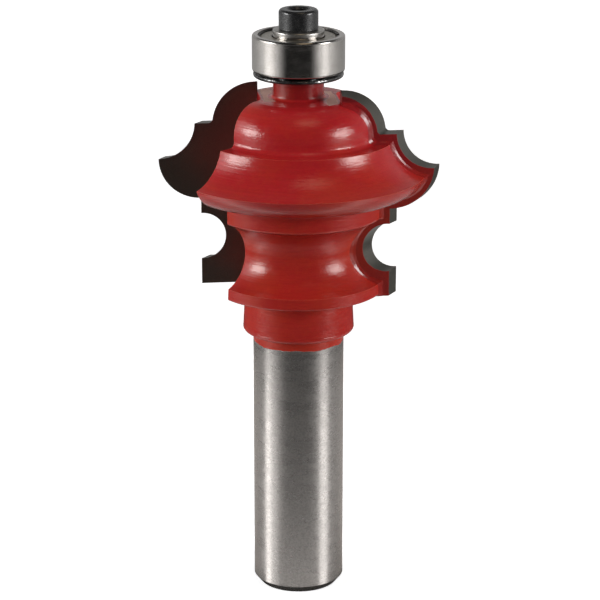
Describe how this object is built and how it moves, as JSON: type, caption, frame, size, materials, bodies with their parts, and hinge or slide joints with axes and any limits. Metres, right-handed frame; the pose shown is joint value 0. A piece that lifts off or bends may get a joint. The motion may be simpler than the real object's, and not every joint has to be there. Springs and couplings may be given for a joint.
{
  "type": "router bit",
  "caption": "Two-flute profile router bit with brazed carbide tips, red coated body, straight shank and a guide bearing held by a cap screw.",
  "frame": {"origin": "centre of the shank's end face", "axes": "+Z along the tool axis from the shank end to the bearing screw; the cutting faces of the carbide tips are parallel to the XZ plane"},
  "size_m": [0.0382, 0.0352, 0.0833],
  "materials": {
    "coated_steel": "red non-stick coating over turned steel, bare ground shank",
    "carbide": "ground tungsten carbide",
    "braze": "braze fillet under the red coating",
    "bearing_steel": "ground and polished bearing steel",
    "ball_steel": "polished",
    "cage_steel": "pressed steel",
    "shield_steel": "pressed steel, satin",
    "spring_wire": "drawn wire",
    "washer_steel": "satin",
    "black_oxide": "black oxide"
  },
  "bodies": {
    "cutter": {"cutter_body": "coated_steel", "carbide_tip_1": "carbide", "carbide_tip_2": "carbide", "braze_joint_1": "braze", "braze_joint_2": "braze", "bearing_inner_ring": "bearing_steel", "dust_shield": "washer_steel", "spacer_washer": "black_oxide", "screw_washer": "bearing_steel", "socket_screw": "black_oxide"},
    "outer_race": {"bearing_outer_ring": "bearing_steel", "bearing_shield_upper": "shield_steel", "bearing_shield_lower": "shield_steel", "snap_ring_upper": "spring_wire", "snap_ring_lower": "spring_wire"},
    "ball_set": {"bearing_ball_1": "ball_steel", "bearing_ball_2": "ball_steel", "bearing_ball_3": "ball_steel", "bearing_ball_4": "ball_steel", "bearing_ball_5": "ball_steel", "bearing_ball_6": "ball_steel", "bearing_ball_7": "ball_steel", "bearing_cage": "cage_steel"}
  },
  "joints": [
    {"name": "bearing_spin", "type": "hinge", "parent": "cutter", "child": "outer_race", "pos_m": [0, 0, 0.07736], "axis": [0, 0, 1], "continuous": true},
    {"name": "cage_spin", "type": "hinge", "parent": "cutter", "child": "ball_set", "pos_m": [0, 0, 0.07736], "axis": [0, 0, 1], "continuous": true}
  ],
  "couplings": [
    {"joint": "cage_spin", "follows": "bearing_spin", "ratio": 0.63635}
  ]
}
